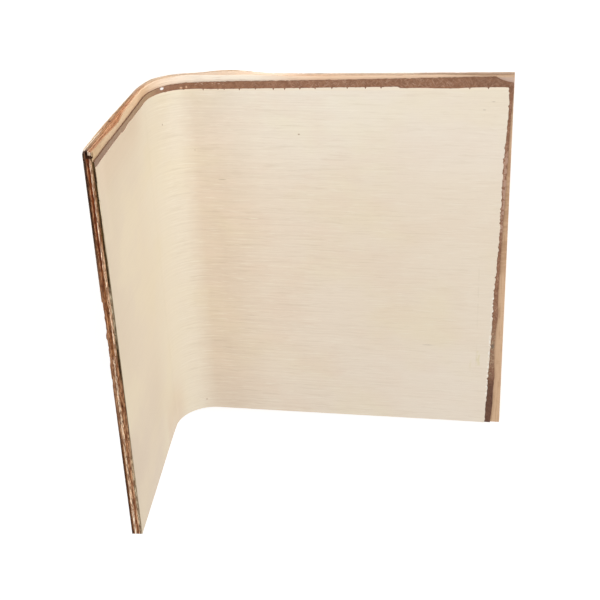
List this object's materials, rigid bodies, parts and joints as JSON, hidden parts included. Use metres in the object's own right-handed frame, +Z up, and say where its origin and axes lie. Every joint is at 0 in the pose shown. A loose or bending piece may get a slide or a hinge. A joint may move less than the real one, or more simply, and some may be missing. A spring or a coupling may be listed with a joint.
{
  "type": "plywood sheet",
  "caption": "Moulded plywood sheet pressed into an L with a rounded corner, its veneers stepped back along the untrimmed edge and one end.",
  "frame": {"origin": "on the surface that the long leg lies on, under the middle of the whole sheet", "axes": "+X along the long leg to its free end, +Y along the bend's axis from the trimmed edge to the untrimmed one, +Z up out of the long leg's inner face"},
  "size_m": [0.287, 0.3108, 0.1918],
  "materials": {
    "face_veneer": "sanded, unfinished",
    "glued_cross_ply": "rough, coated with cured glue",
    "pale_ply": "sawn veneer edge",
    "red_cross_ply": "rough end grain",
    "tan_ply": "sawn veneer edge",
    "dark_cross_ply": "rough end grain",
    "back_veneer": "unsanded"
  },
  "bodies": {
    "root": {"face_veneer": "face_veneer", "cross_ply_1": "glued_cross_ply", "long_ply_1": "pale_ply", "cross_ply_2": "red_cross_ply", "long_ply_2": "tan_ply", "cross_ply_3": "dark_cross_ply", "back_veneer": "back_veneer"}
  },
  "joints": []
}
